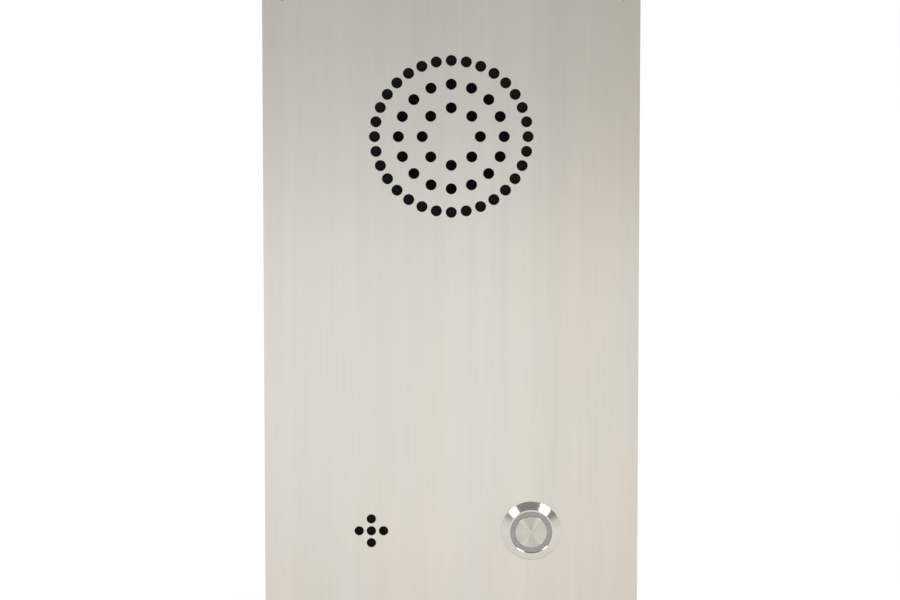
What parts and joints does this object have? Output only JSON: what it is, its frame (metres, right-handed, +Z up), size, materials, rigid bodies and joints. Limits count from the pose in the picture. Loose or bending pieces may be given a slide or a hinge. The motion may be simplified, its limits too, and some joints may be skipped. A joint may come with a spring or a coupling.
{
  "type": "intercom_phone",
  "caption": "Flush-mounted hands-free intercom phone: a tall brushed steel panel with a round speaker grille, a cross of microphone holes and a ring-lit metal call button, open behind.",
  "frame": {"origin": "centre of the panel's rear face, in the middle of the four corner holes", "axes": "+Z up the panel's length, -Y out of its front face towards the user, +X to the user's right"},
  "size_m": [0.1376, 0.0431, 0.246],
  "materials": {
    "steel_panel": "vertical brushed grain",
    "button_metal": "turned and polished",
    "cap_metal": "finely turned",
    "clear_plastic": "translucent, unlit",
    "black_fabric": "woven mesh",
    "gasket_rubber": "closed-cell foam",
    "moulded_rubber": "matte",
    "plated_steel": "zinc plated",
    "basket_steel": "satin black",
    "cone_paper": "pressed pulp",
    "spider_cloth": "varnished cloth",
    "coil_copper": "enamelled copper wire",
    "magnet_ferrite": "ground ferrite",
    "strip_fibre": "pressed fibre board",
    "tinned_metal": "tinned",
    "capsule_metal": "satin",
    "black_plastic": "moulded",
    "nut_metal": "nickel plated",
    "spring_steel": "drawn wire",
    "board_laminate": "green solder mask",
    "core_steel": "varnished laminations",
    "film_red": "dipped",
    "can_sleeve": "shrunk sleeve",
    "terminal_green": "moulded",
    "header_white": "moulded",
    "trimmer_blue": "moulded",
    "rotor_white": "moulded",
    "lead_red": "wire insulation",
    "lead_earth": "wire insulation"
  },
  "bodies": {
    "panel": {"board_screws": "plated_steel", "board_standoffs": "tinned_metal", "button_housing": "button_metal", "button_lamp_board": "board_laminate", "button_leads": "lead_red", "button_lock_washer": "plated_steel", "button_nut": "nut_metal", "button_pins": "tinned_metal", "button_seal": "gasket_rubber", "button_spring": "spring_steel", "circuit_chips": "black_plastic", "contact_base": "black_plastic", "contact_block": "black_plastic", "earth_lead": "lead_earth", "earth_lug": "tinned_metal", "earth_nut": "plated_steel", "earth_stud": "plated_steel", "face_plate": "steel_panel", "film_capacitor": "film_red", "hook_relay": "black_plastic", "large_capacitors": "black_plastic", "lead_headers": "header_white", "lead_plugs": "header_white", "main_board": "board_laminate", "microphone_boot": "moulded_rubber", "microphone_bracket": "plated_steel", "microphone_capsule": "capsule_metal", "microphone_leads": "lead_red", "microphone_mesh": "black_fabric", "panel_gasket": "gasket_rubber", "small_capacitors": "can_sleeve", "speaker_basket": "basket_steel", "speaker_clips": "plated_steel", "speaker_front_washer": "plated_steel", "speaker_gasket": "gasket_rubber", "speaker_leads": "lead_red", "speaker_magnet": "magnet_ferrite", "speaker_mesh": "black_fabric", "speaker_solder_tags": "tinned_metal", "speaker_spider": "spider_cloth", "speaker_surround": "moulded_rubber", "speaker_terminal_strip": "strip_fibre", "speaker_yoke": "plated_steel", "stud_nuts": "plated_steel", "terminal_block": "terminal_green", "terminal_screws": "plated_steel", "transformer_bobbin": "black_plastic", "transformer_core": "core_steel", "trimmer_bases": "trimmer_blue", "weld_studs": "plated_steel"},
    "call_button": {"button_cap": "cap_metal", "button_light_ring": "clear_plastic", "button_plunger": "black_plastic", "contact_bridge": "tinned_metal"},
    "speaker_diaphragm": {"speaker_cone": "cone_paper", "speaker_dust_cap": "cone_paper", "voice_coil": "coil_copper"},
    "volume_trimmer": {"volume_rotor": "rotor_white"},
    "gain_trimmer": {"gain_rotor": "rotor_white"}
  },
  "joints": [
    {"name": "call_press", "type": "slide", "parent": "panel", "child": "call_button", "axis": [0, 1, 0], "range_m": [0, 0.0025], "stiffness_N_per_m": 1000, "springref_m": -0.0015, "deforming": ["button_spring"]},
    {"name": "diaphragm_travel", "type": "slide", "parent": "panel", "child": "speaker_diaphragm", "axis": [0, 1, 0], "range_m": [-0.0008, 0.0008], "stiffness_N_per_m": 1000, "deforming": ["speaker_surround", "speaker_spider"]},
    {"name": "volume_turn", "type": "hinge", "parent": "panel", "child": "volume_trimmer", "pos_m": [-0.042, 0.0158, -0.048], "axis": [0, 1, 0], "range_deg": [-135, 135]},
    {"name": "gain_turn", "type": "hinge", "parent": "panel", "child": "gain_trimmer", "pos_m": [-0.042, 0.0158, -0.036], "axis": [0, 1, 0], "range_deg": [-135, 135]}
  ]
}
